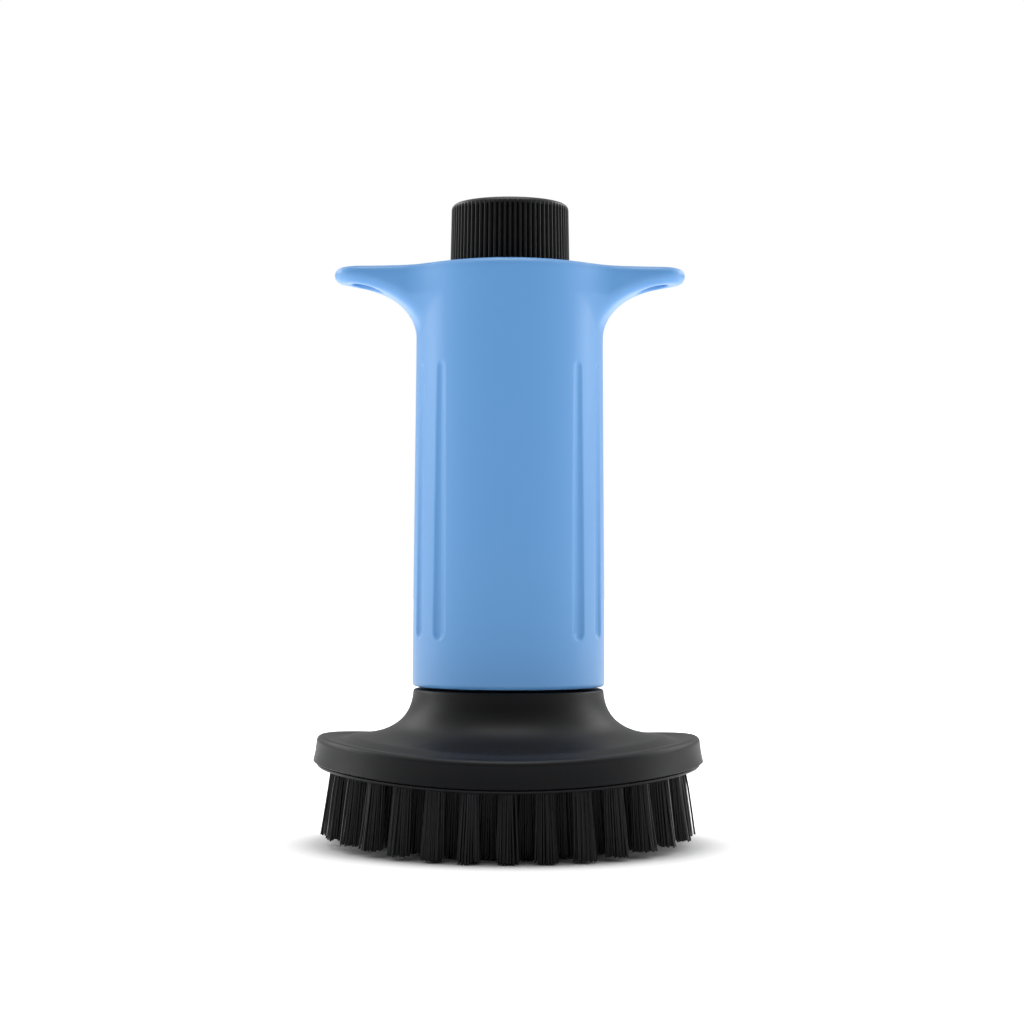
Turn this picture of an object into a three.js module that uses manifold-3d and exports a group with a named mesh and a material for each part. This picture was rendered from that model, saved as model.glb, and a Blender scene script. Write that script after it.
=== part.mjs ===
// Golf club groove brush that carries its own water.
// Millimetres, +Z up, origin on the floor under the middle of the tufts. The finger wings lie along X.
import * as THREE from "three";
import { mergeVertices } from "three/addons/utils/BufferGeometryUtils.js";
import Module from "manifold-3d";

const wasm = await Module();
wasm.setup();

// Clearances
const gap = 0.3;
const slideGap = 0.35;
const seamGap = 0.5;
const hexGap = 0.4;
const pressGap = 0.7;
const cutMargin = 1;

// Facets round a full turn
const bodyFacets = 40;
const innerFacets = 24;
const smallFacets = 12;
const ridgeFacets = 20;
const coilFacets = 8;
const coilSectionSides = 5;
const sealSectionSides = 8;

// Tufts
const tuftLength = 12.98;
const tuftRootRadius = 2.15;
const tuftTipRadius = 2.7;
const tuftNeckRadius = 1.5;
const tuftLean = 1;
const tuftFacets = 6;
const ringCounts = [30, 24, 18, 12];
const outerRingInset = 3.05;
const ringSpacing = 6.6;
const webHalfWidth = 1.6;
const webThickness = 1.3;

// Rocker of the head along X
const rockerRadius = 290;
const rockerFadeLift = 2;

// Tuft plate
const plateLipStep = 0.7;
const plateLipThickness = 0.52;
const plateFloor = 2.35;
const plateTopSkin = 0.3;
const plateBoreStep = 1.2;

// Head shell
const rimOuterRadius = 38;
const rimDraft = 0.7;
const rimWall = 1.85;
const rimLipRound = 1.2;
const rimWallHeight = 4.15;
const rimLandWidth = 4.3;
const gutterWidth = 3;
const gutterDepth = 0.3;
const flareFootRise = 0.65;
const flareHeight = 10;
const flareNeckStep = 0.2;
const flareNeckPull = 6.8;
const flareNeckLean = 0.6;
const flareFootPull = 6.5;
const flareFootLift = 1;
const flareWallAcross = 1.4;
const flareWallDown = 1.9;
const shoulderStep = 0.4;
const shoulderRound = 0.5;
const shellWall = 2.4;
const spigotWall = 2.3;
const spigotHeight = 9.5;
const cupFloorDrop = 5.7;
const cupFloorThickness = 2.4;
const bossWall = 2.2;

// Screw joint between head and bottle
const headPitch = 3;
const headTurns = 1.5;
const ridgeWidth = 1;
const ridgeTipWidth = 0.6;
const ridgeLead = 0.8;
const headRidgeHeight = 1.4;

// Outlet valve
const seatRadius = 7.1;
const seatFlange = 1.9;
const seatFlangeThickness = 1.5;
const seatSkirt = 0.9;
const seatBoreRadius = 3.6;
const seatPocketDepth = 2.8;
const discStep = 0.6;
const discThickness = 1.4;
const washerThickness = 1.4;
const stemRadius = 1.9;
const stemFinThickness = 1.2;
const stemHeadRadius = 2.6;
const stemHeadThickness = 0.9;
const valveSpringLength = 8.3;
const valveSpringRadius = 3.6;
const valveWire = 0.35;
const valveSpringTurns = 5;
const clipOuterRadius = 4.6;
const clipThickness = 1;

// Bottle inside the handle
const bottleWall = 1.3;
const bottleShoulderSlope = 3;
const neckLand = 1.55;
const neckWall = 3;
const neckHeight = 8.3;
const gasketThickness = 0.7;

// Handle
const handleHeight = 112.3;
const handleTopRadius = 18.2;
const handleTaper = 0.6;
const handleWall = 1.6;
const handleEdgeRound = 1;
const handleEndDraft = 16;
const deckThickness = 3;
const wingSpan = 68.4;
const wingTipRadius = 5.7;
const wingRootHalfWidth = 9.6;
const wingMidHalfWidth = 6.9;
const wingWaistReach = 3;
const wingRootReach = 2;
const wingLeaveAngle = 62;
const wingThickness = 3.1;
const wingArchReach = 14.6;
const wingArchHeight = 10.4;
const wingHoleRadius = 3.05;
const wingHoleFacets = 16;
const wingHoleInset = 6.4;
const gripAngles = [46.4, 66.3];
const gripBottomInset = 8.6;
const gripTopInset = 19.1;
const gripRadius = 2.2;
const gripDepth = 0.5;

// Knob and stopper
const knobRadius = 11.5;
const knobRibHeight = 0.25;
const knobRibCount = 72;
const knobExposed = 12.5;
const knobTopRound = 0.85;
const knobTopThickness = 2.2;
const knobWall = 2.5;
const knobSkirtBelowDeck = 5;
const pressTravel = 4;
const capPitch = 2.5;
const capTurns = 1.5;
const capRidgeHeight = 1.3;
const capRidgeDrop = 0.4;
const hexAboveDeck = 0.2;
const stopperFlangeThickness = 2;
const stopperDepth = 6.4;
const springPocketRadius = 5.4;
const springFloorDrop = 1;
const buttonSpringRadius = 4.2;
const buttonWire = 0.4;
const buttonSpringTurns = 7;
const rodRadius = 2;
const rodFlangeRadius = 5;
const rodFlangeThickness = 1.2;
const sealRadius = 0.75;
const rodTipGap = 0.4;

// Radii that follow from the sizes above
const rimTopRadius = rimOuterRadius - rimDraft;
const rimInnerRadius = rimOuterRadius - rimWall;
const gutterRadius = rimTopRadius - rimLandWidth;
const flareFootRadius = gutterRadius - gutterWidth;
const plateRadius = rimInnerRadius - gap;
const plateLipRadius = rimOuterRadius - plateLipStep;
const plateBoreRadius = seatRadius + plateBoreStep;
const outerRingRadius = plateRadius - outerRingInset;
const seatPocketRadius = seatRadius - seatSkirt;
const discRadius = seatPocketRadius - discStep;
const handleBottomRadius = handleTopRadius + handleTaper;
const flareNeckRadius = handleBottomRadius - flareNeckStep;
const shoulderRadius = flareNeckRadius - shoulderStep;
const bottleRadius = handleTopRadius - handleWall - gap;
const bottleInnerRadius = bottleRadius - bottleWall;
const spigotRadius = bottleInnerRadius - gap - headRidgeHeight;
const spigotBoreRadius = spigotRadius - spigotWall;
const wellRadius = knobRadius + knobRibHeight + slideGap;
const stopperFlangeRadius = wellRadius - slideGap;
const neckBoreRadius = stopperFlangeRadius - neckLand;
const stopperCoreRadius = neckBoreRadius - gap - capRidgeHeight;
const hexRadius = knobRadius - knobWall - hexGap;
const sealPocketRadius = rodRadius + gap + 2 * sealRadius + gap;

// Heights that follow from the sizes above
const plateBottom = tuftLength;
const rimBottom = plateBottom + plateLipThickness + gap;
const webBottom = plateBottom + plateFloor + gap;
const plateTop = webBottom + webThickness + plateTopSkin;
const rimTop = rimBottom + rimWallHeight;
const lipTop = rimTop + rimLipRound;
const undersideHeight = plateTop + gap;
const flareFootHeight = lipTop + flareFootRise;
const flareNeckHeight = flareFootHeight + flareHeight;
const shoulderHeight = flareNeckHeight + shoulderRound;
const handleBottom = shoulderHeight + seamGap;
const cupFloor = shoulderHeight - cupFloorDrop;
const spigotTop = shoulderHeight + spigotHeight;
const seatFlangeBottom = cupFloor + gap;
const seatTop = seatFlangeBottom + seatFlangeThickness;
const seatFace = undersideHeight + seatPocketDepth;
const washerTop = seatFace - gap;
const discTop = washerTop - washerThickness - gap;
const clipBottom = seatTop + gap + valveSpringLength + gap;
const stemTop = clipBottom + clipThickness + gap + stemHeadThickness;
const rodTip = stemTop + rodTipGap;
const bottleBottom = shoulderHeight + gap + gasketThickness + gap;
const knobTop = handleHeight + knobExposed;
const knobBottom = handleHeight - knobSkirtBelowDeck;
const knobCeiling = knobTop - knobTopThickness;
const flangeTop = knobBottom - pressTravel - pressGap;
const flangeBottom = flangeTop - stopperFlangeThickness;
const neckTop = flangeBottom - gap - gasketThickness - gap;
const bottleShoulderHeight = neckTop - neckHeight;
const capRidgeTop = neckTop - capRidgeDrop - ridgeWidth;
const springFloor = neckTop - springFloorDrop;
const hexTop = handleHeight + hexAboveDeck;
const hexBottom = (flangeBottom + flangeTop) / 2;
const rodFlangeTop = knobCeiling - gap;
const stopperBottom = neckTop - stopperDepth;

const degrees = Math.PI / 180;

// Geometry helpers

function points(pairs) {
  return pairs.map(([x, y]) => new THREE.Vector2(x, y));
}

function turned(profile, facets) {
  const closed = profile[0][0] === 0 ? profile : [...profile, profile[0]];
  return new THREE.LatheGeometry(points(closed), facets).rotateX(Math.PI / 2);
}

function arcPoints(centreR, centreZ, radius, fromAngle, toAngle, steps) {
  const list = [];
  for (let step = 0; step <= steps; step += 1) {
    const angle = (fromAngle + ((toAngle - fromAngle) * step) / steps) * degrees;
    list.push([centreR + radius * Math.cos(angle), centreZ + radius * Math.sin(angle)]);
  }
  return list;
}

function circlePoints(centreR, centreZ, radius, sides) {
  return arcPoints(centreR, centreZ, radius, 0, 360 * (1 - 1 / sides), sides - 1);
}

// A copy of a closed mesh whose triangles share their vertices.
function joined(geometry) {
  const bare = geometry.clone();
  bare.deleteAttribute("normal");
  bare.deleteAttribute("uv");
  return mergeVertices(bare, 1e-4);
}

function solidOf(geometry) {
  const shared = joined(geometry);
  return new wasm.Manifold(new wasm.Mesh({
    numProp: 3,
    vertProperties: new Float32Array(shared.attributes.position.array),
    triVerts: new Uint32Array(shared.index.array),
  }));
}

function geometryOf(solid) {
  const mesh = solid.getMesh();
  const geometry = new THREE.BufferGeometry();
  geometry.setAttribute("position", new THREE.BufferAttribute(mesh.vertProperties, 3));
  geometry.setIndex(new THREE.BufferAttribute(mesh.triVerts, 1));
  return geometry;
}

// A copy of a closed mesh with its faces pointing out.
function outwards(geometry) {
  const shared = joined(geometry);
  if (solidOf(shared).volume() < 0) {
    const corners = shared.index;
    for (let corner = 0; corner < corners.count; corner += 3) {
      const second = corners.getX(corner + 1);
      corners.setX(corner + 1, corners.getX(corner + 2));
      corners.setX(corner + 2, second);
    }
  }
  return shared;
}

function moveVertices(geometry, move) {
  const position = geometry.attributes.position;
  const point = new THREE.Vector3();
  for (let index = 0; index < position.count; index += 1) {
    point.fromBufferAttribute(position, index);
    move(point);
    position.setXYZ(index, point.x, point.y, point.z);
  }
  return geometry;
}

function rockerRise(x) {
  return rockerRadius - Math.sqrt(rockerRadius ** 2 - x ** 2);
}

// The rocker is full up to the foot of the flare and fades out at the neck.
function rocked(geometry) {
  return moveVertices(geometry, (point) => {
    const share = THREE.MathUtils.smoothstep(point.z, flareFootHeight + rockerFadeLift, flareNeckHeight);
    point.z += rockerRise(point.x) * (1 - share);
  });
}

function disc(radius, bottom, top, facets) {
  return turned([[0, bottom], [radius, bottom], [radius, top], [0, top]], facets);
}

function ring(inner, outer, bottom, top, facets) {
  return turned([[inner, bottom], [outer, bottom], [outer, top], [inner, top]], facets);
}

// A screw ridge of trapezoid section, wound round +Z; rootRadius is the wall that it stands on.
function screwRidge(rootRadius, tipRadius, bottom, turns, pitch) {
  const inset = (ridgeWidth - ridgeTipWidth) / 2;
  const outward = Math.sign(tipRadius - rootRadius);
  const section = [
    [rootRadius - outward * gap, 0],
    [rootRadius, 0],
    [tipRadius, inset],
    [tipRadius, ridgeWidth - inset],
    [rootRadius, ridgeWidth],
    [rootRadius - outward * gap, ridgeWidth],
  ];
  const steps = Math.round(turns * ridgeFacets);
  const bar = new THREE.ExtrudeGeometry(new THREE.Shape(points(section)), {
    depth: turns,
    steps,
    bevelEnabled: false,
  });
  moveVertices(bar, (point) => {
    const angle = point.z * 2 * Math.PI;
    const height = bottom + point.y + point.z * pitch;
    point.set(point.x * Math.cos(angle), point.x * Math.sin(angle), height);
  });
  return outwards(bar);
}

class HelixCurve extends THREE.Curve {
  constructor(radius, bottom, top, turns) {
    super();
    this.radius = radius;
    this.bottom = bottom;
    this.height = top - bottom;
    this.turns = turns;
  }

  getPoint(share, target = new THREE.Vector3()) {
    const angle = share * this.turns * 2 * Math.PI;
    const height = this.bottom + share * this.height;
    return target.set(this.radius * Math.cos(angle), this.radius * Math.sin(angle), height);
  }
}

function coilSpring(radius, wire, bottom, top, turns) {
  const section = points(circlePoints(0, 0, wire, coilSectionSides));
  return outwards(new THREE.ExtrudeGeometry(new THREE.Shape(section), {
    extrudePath: new HelixCurve(radius, bottom + wire, top - wire, turns),
    steps: turns * coilFacets,
    bevelEnabled: false,
  }));
}

// Materials

function material(color, roughness, metalness = 0) {
  return new THREE.MeshStandardMaterial({ color, roughness, metalness });
}

const blackPlastic = () => material(0x17181a, 0.45);
const bluePlastic = () => material(0x6fa9dc, 0.35);
const clearPlastic = () => material(0xdfe6ea, 0.2);
const nylon = () => material(0x0e0e10, 0.6);
const rubber = () => material(0x1a1a1a, 0.8);
const steel = () => material(0xc4c8cc, 0.3, 1);

const brush = new THREE.Group();

function add(name, geometry, finish) {
  if (!geometry.attributes.normal) {
    geometry.computeVertexNormals();
  }
  const mesh = new THREE.Mesh(geometry, finish);
  mesh.name = name;
  brush.add(mesh);
}

// Head

function ringRadius(ringIndex) {
  return outerRingRadius - ringIndex * ringSpacing;
}

function tuftAngles(ringIndex) {
  const count = ringCounts[ringIndex];
  return Array.from({ length: count }, (_, place) => ((place + 0.5) * 2 * Math.PI) / count);
}

// One tuft at angle 0: a straight root, then a flare that leans outwards towards the tips.
function tuft(ringIndex) {
  const profile = [
    [0, 0],
    [tuftTipRadius, 0],
    [tuftRootRadius, plateBottom],
    [tuftNeckRadius, webBottom + webThickness / 2],
    [0, webBottom + webThickness / 2],
  ];
  const lean = tuftLean * (1 - ringIndex / ringCounts.length);
  return moveVertices(turned(profile, tuftFacets), (point) => {
    point.x += ringRadius(ringIndex) + lean * Math.max(0, 1 - point.z / plateBottom);
  });
}

// A flat band round the axis at one ring of tufts, with a corner at each tuft.
function tuftBand(ringIndex, halfWidth, bottom, top) {
  const middle = ringRadius(ringIndex);
  const facets = ringCounts[ringIndex];
  return ring(middle - halfWidth, middle + halfWidth, bottom, top, facets).rotateZ(Math.PI / facets);
}

function tuftRing(ringIndex) {
  const middle = ringRadius(ringIndex);
  const web = tuftBand(ringIndex, webHalfWidth, webBottom, webBottom + webThickness);
  let solid = solidOf(rocked(web));
  for (const angle of tuftAngles(ringIndex)) {
    const rise = rockerRise(middle * Math.cos(angle));
    solid = solid.add(solidOf(tuft(ringIndex).rotateZ(angle).translate(0, 0, rise)));
  }
  return geometryOf(solid);
}

function tuftPlate() {
  const recessFloor = webBottom - gap;
  const profile = [
    [plateBoreRadius, plateBottom],
    [plateLipRadius, plateBottom],
    [plateLipRadius, plateBottom + plateLipThickness],
    [plateRadius, plateBottom + plateLipThickness],
    [plateRadius, plateTop],
    [plateBoreRadius, plateTop],
  ];
  let solid = solidOf(turned(profile, bodyFacets));
  for (let ringIndex = 0; ringIndex < ringCounts.length; ringIndex += 1) {
    const middle = ringRadius(ringIndex);
    const recess = tuftBand(ringIndex, webHalfWidth + gap, recessFloor, plateTop + cutMargin);
    solid = solid.subtract(solidOf(recess));
    for (const angle of tuftAngles(ringIndex)) {
      const hole = disc(tuftRootRadius + gap, plateBottom - cutMargin, webBottom, tuftFacets);
      solid = solid.subtract(solidOf(hole.translate(middle, 0, 0).rotateZ(angle)));
    }
  }
  return rocked(geometryOf(solid));
}

function flarePoints(steps) {
  const curve = new THREE.CubicBezierCurve(
    new THREE.Vector2(flareFootRadius, flareFootHeight),
    new THREE.Vector2(flareFootRadius - flareFootPull, flareFootHeight + flareFootLift),
    new THREE.Vector2(flareNeckRadius + flareNeckLean, flareNeckHeight - flareNeckPull),
    new THREE.Vector2(flareNeckRadius, flareNeckHeight),
  );
  return curve.getPoints(steps).map((point) => [point.x, point.y]);
}

function headShell() {
  const bossBoreRadius = seatRadius + gap;
  const bossRadius = bossBoreRadius + bossWall;
  const cupUnderside = cupFloor - cupFloorThickness;
  const shoulderUnderside = shoulderHeight - shellWall;
  const innerFlare = flarePoints(5).slice(1, -1).reverse()
    .map(([radius, height]) => [radius - flareWallAcross, height - flareWallDown]);
  const profile = [
    [rimInnerRadius, rimBottom],
    [rimOuterRadius, rimBottom],
    ...arcPoints(rimTopRadius - rimLipRound, rimTop, rimLipRound, 0, 90, 3),
    [gutterRadius, lipTop - gutterDepth],
    ...flarePoints(8),
    [shoulderRadius, shoulderHeight],
    [spigotRadius, shoulderHeight],
    [spigotRadius, spigotTop],
    [spigotBoreRadius, spigotTop],
    [spigotBoreRadius, cupFloor],
    [bossBoreRadius, cupFloor],
    [bossBoreRadius, undersideHeight],
    [bossRadius, undersideHeight],
    [bossRadius, cupUnderside],
    [spigotRadius, cupUnderside],
    [spigotRadius, shoulderUnderside],
    ...innerFlare,
    [flareFootRadius, undersideHeight],
    [rimInnerRadius, undersideHeight],
  ];
  const tip = spigotRadius + headRidgeHeight;
  const ridge = screwRidge(spigotRadius, tip, bottleBottom + ridgeLead, headTurns, headPitch);
  return rocked(geometryOf(solidOf(turned(profile, bodyFacets)).add(solidOf(ridge))));
}

function valveSeat() {
  return turned([
    [seatPocketRadius, undersideHeight],
    [seatRadius, undersideHeight],
    [seatRadius, seatFlangeBottom],
    [seatRadius + seatFlange, seatFlangeBottom],
    [seatRadius + seatFlange, seatTop],
    [seatBoreRadius, seatTop],
    [seatBoreRadius, seatFace],
    [seatPocketRadius, seatFace],
  ], innerFacets);
}

function valveStem() {
  const core = turned([
    [0, discTop - discThickness],
    [discRadius, discTop - discThickness],
    [discRadius, discTop],
    [stemRadius, discTop],
    [stemRadius, clipBottom + clipThickness + gap],
    [stemHeadRadius, clipBottom + clipThickness + gap],
    [stemHeadRadius, stemTop],
    [0, stemTop],
  ], smallFacets);
  const finReach = seatBoreRadius - slideGap;
  const finBottom = washerTop + gap;
  const finHeight = seatTop - finBottom;
  let solid = solidOf(core);
  for (const angle of [0, 60, 120]) {
    const fin = new THREE.BoxGeometry(2 * finReach, stemFinThickness, finHeight);
    fin.translate(0, 0, finBottom + finHeight / 2).rotateZ(angle * degrees);
    solid = solid.add(solidOf(fin));
  }
  return geometryOf(solid);
}

function addHead() {
  add("head_shell", headShell(), blackPlastic());
  add("tuft_plate", tuftPlate(), blackPlastic());
  ringCounts.forEach((_, ringIndex) => add(`tuft_ring_${ringIndex + 1}`, tuftRing(ringIndex), nylon()));
}

function addValve() {
  const washerBottom = washerTop - washerThickness;
  const springBottom = seatTop + gap;
  const springTop = clipBottom - gap;
  const spring = coilSpring(valveSpringRadius, valveWire, springBottom, springTop, valveSpringTurns);
  const clip = ring(stemRadius + gap, clipOuterRadius, clipBottom, clipBottom + clipThickness, smallFacets);
  add("valve_seat", valveSeat(), clearPlastic());
  add("valve_stem", valveStem(), blackPlastic());
  add("valve_washer", ring(stemRadius + gap, discRadius, washerBottom, washerTop, smallFacets), rubber());
  add("valve_spring", spring, steel());
  add("valve_clip", clip, steel());
}

// Handle

function bottle() {
  const neckOuterRadius = neckBoreRadius + neckWall;
  const shoulderStart = bottleShoulderHeight - bottleShoulderSlope;
  const solid = solidOf(turned([
    [bottleInnerRadius, bottleBottom],
    [bottleRadius, bottleBottom],
    [bottleRadius, shoulderStart],
    [neckOuterRadius, bottleShoulderHeight],
    [neckOuterRadius, neckTop],
    [neckBoreRadius, neckTop],
    [neckBoreRadius, bottleShoulderHeight - bottleWall],
    [bottleInnerRadius, shoulderStart - bottleWall],
  ], innerFacets));
  const headRidgeBottom = bottleBottom + ridgeLead + headPitch / 2;
  const headTip = bottleInnerRadius - headRidgeHeight;
  const headRidge = screwRidge(bottleInnerRadius, headTip, headRidgeBottom, headTurns, headPitch);
  const capTip = neckBoreRadius - capRidgeHeight;
  const capRidgeBottom = capRidgeTop - capTurns * capPitch;
  const capRidge = screwRidge(neckBoreRadius, capTip, capRidgeBottom, capTurns, capPitch);
  return geometryOf(solid.add(solidOf(headRidge)).add(solidOf(capRidge)));
}

// Outline of both wings from above: full at the tube, waisted, and round at the tips.
function wingPlan() {
  const tipCentre = wingSpan / 2 - wingTipRadius;
  const rootX = wellRadius + wingRootReach;
  const waistX = handleTopRadius + wingWaistReach;
  const leave = wingLeaveAngle * degrees;
  const leaveX = tipCentre + wingTipRadius * Math.cos(leave);
  const leaveY = wingTipRadius * Math.sin(leave);
  const shape = new THREE.Shape();
  shape.moveTo(-rootX, -wingRootHalfWidth);
  shape.lineTo(rootX, -wingRootHalfWidth);
  shape.quadraticCurveTo(waistX, -wingMidHalfWidth, leaveX, -leaveY);
  shape.absarc(tipCentre, 0, wingTipRadius, -leave, leave, false);
  shape.quadraticCurveTo(waistX, wingMidHalfWidth, rootX, wingRootHalfWidth);
  shape.lineTo(-rootX, wingRootHalfWidth);
  shape.quadraticCurveTo(-waistX, wingMidHalfWidth, -leaveX, leaveY);
  shape.absarc(-tipCentre, 0, wingTipRadius, Math.PI - leave, Math.PI + leave, false);
  shape.quadraticCurveTo(-waistX, -wingMidHalfWidth, -rootX, -wingRootHalfWidth);
  return shape;
}

// Half section of a disc as wide as both wings, hollowed underneath by a quarter ellipse round the tube.
function wingSection() {
  const underside = handleHeight - wingThickness;
  const centreX = handleTopRadius + wingArchReach;
  const centreZ = underside - wingArchHeight;
  const reach = wingSpan / 2 + cutMargin;
  const arch = new THREE.EllipseCurve(centreX, centreZ, wingArchReach, wingArchHeight, Math.PI / 2, Math.PI);
  const archPoints = arch.getPoints(10).map((point) => [point.x, point.y]).reverse();
  return [[0, centreZ], ...archPoints, [reach, underside], [reach, handleHeight], [0, handleHeight]];
}

function wings() {
  const plan = new THREE.ExtrudeGeometry(wingPlan(), {
    depth: handleHeight,
    bevelEnabled: false,
    curveSegments: 10,
  });
  return solidOf(outwards(plan)).intersect(solidOf(turned(wingSection(), bodyFacets)));
}

function handleRadiusAt(height) {
  const share = (height - handleBottom) / (handleHeight - handleBottom);
  return handleBottomRadius + (handleTopRadius - handleBottomRadius) * share;
}

// A round-ended groove that sinks gripDepth into the tube, as a bar laid along its wall.
function gripBar(angle) {
  const bottom = handleBottom + gripBottomInset;
  const top = handleHeight - gripTopInset;
  const height = (top + bottom) / 2;
  const bar = new THREE.CapsuleGeometry(gripRadius, top - bottom - 2 * gripRadius, 4, 12);
  bar.rotateX(Math.PI / 2).translate(0, -handleRadiusAt(height) - gripRadius + gripDepth, height);
  return solidOf(bar.rotateZ(angle * degrees));
}

function handleSleeve() {
  const round = handleEdgeRound;
  const bore = bottleRadius + gap;
  const deckBottom = handleHeight - deckThickness;
  const outer = solidOf(turned([
    [0, handleBottom],
    ...arcPoints(handleBottomRadius - round, handleBottom + round, round, -90, 0, 3),
    [handleTopRadius, handleHeight - handleEndDraft],
    ...arcPoints(handleTopRadius - round, handleHeight - round, round, 0, 90, 3),
    [0, handleHeight],
  ], bodyFacets));
  let solid = outer.add(wings());
  const cutTop = handleHeight + cutMargin;
  const holeBottom = handleHeight - wingThickness - wingArchHeight;
  solid = solid.subtract(solidOf(disc(bore, handleBottom - cutMargin, deckBottom, innerFacets)));
  solid = solid.subtract(solidOf(disc(wellRadius, deckBottom - cutMargin, cutTop, innerFacets)));
  for (const side of [-1, 1]) {
    const hole = disc(wingHoleRadius, holeBottom, cutTop, wingHoleFacets);
    hole.translate(side * (wingSpan / 2 - wingHoleInset), 0, 0);
    solid = solid.subtract(solidOf(hole));
    for (const gripAngle of gripAngles) {
      solid = solid.subtract(gripBar(side * gripAngle));
      solid = solid.subtract(gripBar(180 + side * gripAngle));
    }
  }
  return geometryOf(solid);
}

function addHandle() {
  const gasketBottom = shoulderHeight + gap;
  const gasketInner = spigotRadius + headRidgeHeight + gap;
  const gasketTop = gasketBottom + gasketThickness;
  add("handle_gasket", ring(gasketInner, bottleRadius, gasketBottom, gasketTop, innerFacets), rubber());
  add("reservoir_liner", bottle(), clearPlastic());
  add("handle_sleeve", handleSleeve(), bluePlastic());
}

// Stopper, knob and push rod

function stopper() {
  const sealTop = stopperBottom + 2 * sealRadius + 2 * gap;
  const turnedPart = turned([
    [rodRadius + slideGap, sealTop],
    [sealPocketRadius, sealTop],
    [sealPocketRadius, stopperBottom],
    [stopperCoreRadius, stopperBottom],
    [stopperCoreRadius, flangeBottom],
    [stopperFlangeRadius, flangeBottom],
    [stopperFlangeRadius, flangeTop],
    [springPocketRadius, flangeTop],
    [springPocketRadius, springFloor],
    [rodRadius + slideGap, springFloor],
  ], innerFacets);
  const hex = new THREE.CylinderGeometry(hexRadius, hexRadius, hexTop - hexBottom, 6);
  hex.rotateX(Math.PI / 2).translate(0, 0, (hexTop + hexBottom) / 2);
  const pocket = disc(springPocketRadius, springFloor, hexTop + cutMargin, innerFacets);
  const tip = stopperCoreRadius + capRidgeHeight;
  const ridgeBottom = capRidgeTop - capTurns * capPitch - capPitch / 2;
  const ridge = screwRidge(stopperCoreRadius, tip, ridgeBottom, capTurns, capPitch);
  const post = solidOf(hex).subtract(solidOf(pocket));
  return geometryOf(solidOf(turnedPart).add(post).add(solidOf(ridge)));
}

function knob() {
  const ribFacets = 2 * knobRibCount;
  const outer = turned([
    [0, knobBottom],
    [knobRadius, knobBottom],
    [knobRadius, knobTop - knobTopRound],
    [knobRadius - knobTopRound, knobTop],
    [0, knobTop],
  ], ribFacets);
  moveVertices(outer, (point) => {
    const angle = Math.atan2(point.y, point.x);
    const onWall = Math.hypot(point.x, point.y) > knobRadius - knobTopRound / 2;
    const place = Math.round((angle / (2 * Math.PI)) * ribFacets);
    if (onWall && Math.abs(place % 2) === 1) {
      const share = (knobRadius + knobRibHeight) / knobRadius;
      point.x *= share;
      point.y *= share;
    }
  });
  const pocketRadius = hexRadius + hexGap;
  const pocketBottom = knobBottom - cutMargin;
  const pocket = new THREE.CylinderGeometry(pocketRadius, pocketRadius, knobCeiling - pocketBottom, 6);
  pocket.rotateX(Math.PI / 2).translate(0, 0, (knobCeiling + pocketBottom) / 2);
  return geometryOf(solidOf(outer).subtract(solidOf(pocket)));
}

function pushRod() {
  return turned([
    [0, rodTip],
    [rodRadius, rodTip],
    [rodRadius, rodFlangeTop - rodFlangeThickness],
    [rodFlangeRadius, rodFlangeTop - rodFlangeThickness],
    [rodFlangeRadius, rodFlangeTop],
    [0, rodFlangeTop],
  ], smallFacets);
}

function sealRing() {
  const middle = rodRadius + gap + sealRadius;
  const height = stopperBottom + gap + sealRadius;
  return turned(circlePoints(middle, height, sealRadius, sealSectionSides), smallFacets);
}

function addCap() {
  const gasketBottom = neckTop + gap;
  const gasketTop = gasketBottom + gasketThickness;
  const gasketInner = stopperCoreRadius + gap;
  const springTop = rodFlangeTop - rodFlangeThickness - gap;
  const springBottom = springFloor + gap;
  const spring = coilSpring(buttonSpringRadius, buttonWire, springBottom, springTop, buttonSpringTurns);
  const clipTop = stopperBottom - gap;
  const clip = ring(rodRadius + gap, sealPocketRadius, clipTop - clipThickness, clipTop, smallFacets);
  const gasket = ring(gasketInner, stopperFlangeRadius, gasketBottom, gasketTop, innerFacets);
  add("collar_gasket", gasket, rubber());
  add("fill_collar", stopper(), blackPlastic());
  add("rod_seal", sealRing(), rubber());
  add("button_cap", knob(), blackPlastic());
  add("push_rod", pushRod(), steel());
  add("rod_clip", clip, steel());
  add("button_spring", spring, steel());
}

addHead();
addValve();
addHandle();
addCap();

export default brush;
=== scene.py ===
"""Club groove brush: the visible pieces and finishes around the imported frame.

Lengths in the classes are in millimetres and become metres when a mesh is finished. The frame has +Z up, the
finger wings along X, and the floor at z = 0 under the middle of the tufts.
"""

import logging
import math
import random
from collections.abc import Callable, Iterable
from dataclasses import dataclass, field
from enum import Enum

import bmesh
import bpy
import numpy as np
from mathutils import Matrix, Vector


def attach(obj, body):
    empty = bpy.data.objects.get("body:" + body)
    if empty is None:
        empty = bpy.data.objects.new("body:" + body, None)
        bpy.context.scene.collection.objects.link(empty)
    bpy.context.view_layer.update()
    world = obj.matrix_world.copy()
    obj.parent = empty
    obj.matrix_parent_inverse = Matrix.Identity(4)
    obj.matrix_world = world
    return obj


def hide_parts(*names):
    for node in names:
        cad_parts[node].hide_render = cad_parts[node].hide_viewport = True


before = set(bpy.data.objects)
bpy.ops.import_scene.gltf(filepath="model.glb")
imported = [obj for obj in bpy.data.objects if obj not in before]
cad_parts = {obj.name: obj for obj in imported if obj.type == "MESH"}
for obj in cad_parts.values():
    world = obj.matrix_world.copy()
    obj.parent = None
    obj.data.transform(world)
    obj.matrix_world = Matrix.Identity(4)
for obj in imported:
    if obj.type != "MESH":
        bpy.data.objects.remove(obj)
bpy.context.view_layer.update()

MM = 0.001
Profile = list[tuple[float, float]]
log = logging.getLogger("groove_brush")


# ---------------------------------------------------------------- shader tools


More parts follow.
